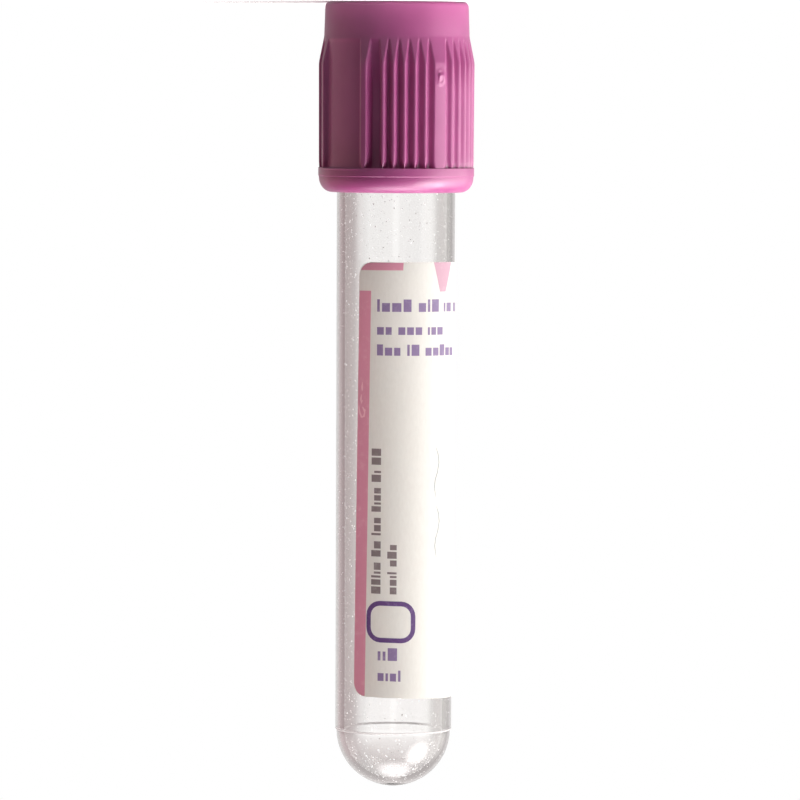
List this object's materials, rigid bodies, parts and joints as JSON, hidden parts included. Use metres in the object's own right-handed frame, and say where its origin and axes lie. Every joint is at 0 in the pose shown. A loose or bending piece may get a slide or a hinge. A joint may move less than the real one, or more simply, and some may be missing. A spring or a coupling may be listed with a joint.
{
  "type": "blood collection tube",
  "caption": "Clear round-bottomed plastic sample tube with a ribbed violet pull-off cap, a rubber stopper, a wrap-round paper label and dried additive on its wall.",
  "frame": {"origin": "centre of the cap's flat top face, on which the tube stands upside down", "axes": "+Z along the tube towards its round bottom, -Y towards the front, where the grip pattern and the label's first edge are counted from"},
  "size_m": [0.0164, 0.0164, 0.083],
  "materials": {
    "clear_plastic": "clear moulded PET, glossy",
    "label_paper": "coated paper, printed",
    "dried_additive": "dry white salt specks",
    "stopper_rubber": "smooth moulded rubber",
    "cap_plastic": "soft satin moulded polyethylene"
  },
  "bodies": {
    "closure": {"cap_shield": "cap_plastic", "rubber_stopper": "stopper_rubber"},
    "tube_body": {"tube": "clear_plastic", "label": "label_paper", "dried_additive": "dried_additive"}
  },
  "joints": [
    {"name": "pull_off", "type": "slide", "parent": "closure", "child": "tube_body", "axis": [0, 0, 1], "range_m": [0, 0.035]}
  ]
}
